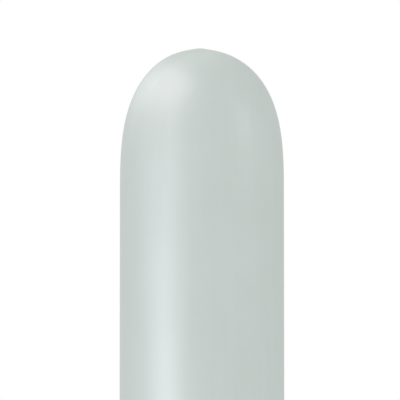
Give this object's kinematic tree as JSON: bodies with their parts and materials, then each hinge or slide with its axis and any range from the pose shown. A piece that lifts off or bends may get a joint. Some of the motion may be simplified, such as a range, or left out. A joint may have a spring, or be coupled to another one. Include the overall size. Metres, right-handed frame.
{
  "type": "modelling balloon",
  "caption": "Long inflated latex tube with a rounded crown and a slight bow, tied off by a knot in its neck above an open, flattened filling tail with a rolled lip.",
  "frame": {"origin": "centre of the knot, on the neck's axis, where the balloon is held up", "axes": "+Z along the tube from the knot to the crown, -Y the front seen in the picture, +X to the right as seen from the front"},
  "size_m": [0.0508, 0.0669, 1.5436],
  "materials": {
    "latex_film": "satin, stretched thin by the air inside",
    "latex_neck": "satin, gathered in fine pleats",
    "latex_knot": "matt, drawn tight",
    "latex_tail": "matt, unstretched",
    "latex_lip": "satin, rolled bead"
  },
  "bodies": {
    "root": {"envelope": "latex_film", "neck": "latex_neck", "knot": "latex_knot", "tail": "latex_tail", "lip": "latex_lip"}
  },
  "joints": []
}
